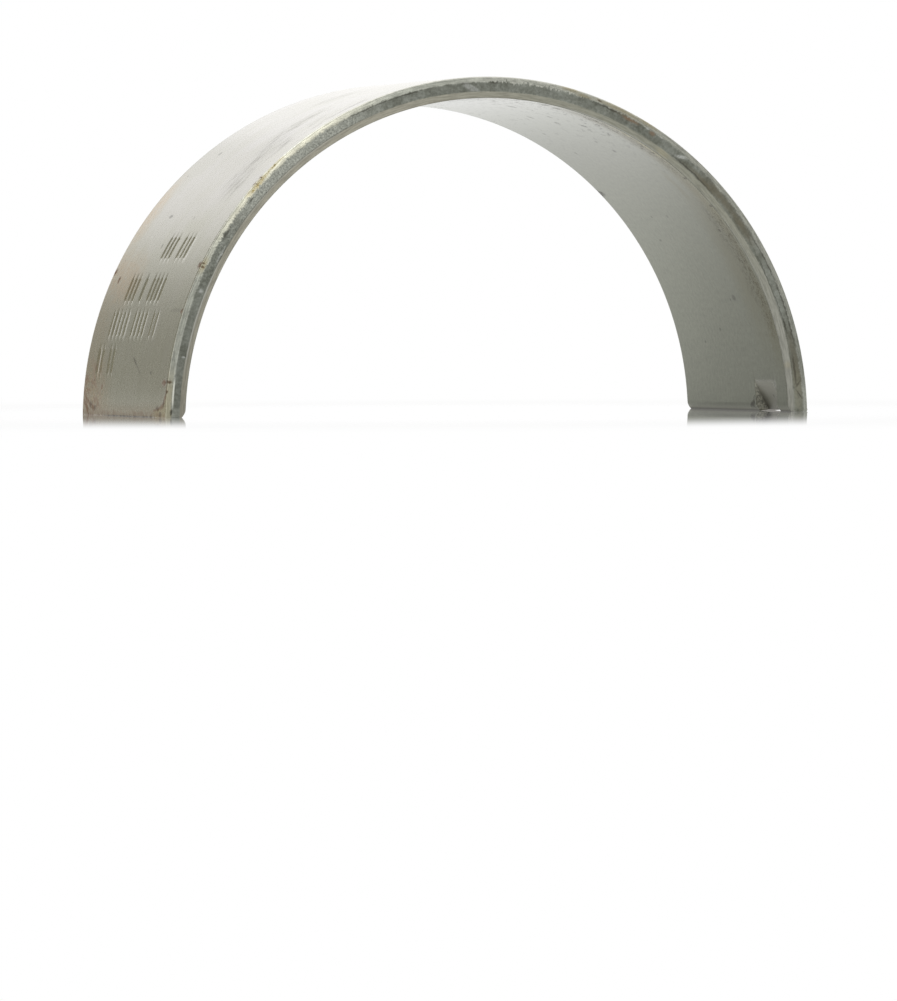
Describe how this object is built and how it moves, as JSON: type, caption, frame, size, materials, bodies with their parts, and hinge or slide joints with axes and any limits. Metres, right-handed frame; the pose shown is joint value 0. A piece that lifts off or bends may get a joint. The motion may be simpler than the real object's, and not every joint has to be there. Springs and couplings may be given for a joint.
{
  "type": "engine bearing shell",
  "caption": "Half-round plain bearing shell for the big end of a connecting rod, with chamfered edges, flat parting faces and a pressed locating lug on one leg.",
  "frame": {"origin": "on the bore axis, at the middle of the shell's width", "axes": "+Y along the bore axis, away from the side face next to the lug; +Z to the crown of the arch; +X to the leg with the lug"},
  "size_m": [0.0528, 0.0198, 0.0253],
  "materials": {
    "steel_shell": "satin, with fine lines round the bore, a matte lining, dull side faces and light rust on the edges"
  },
  "bodies": {
    "root": {"bearing_shell": "steel_shell"}
  },
  "joints": []
}
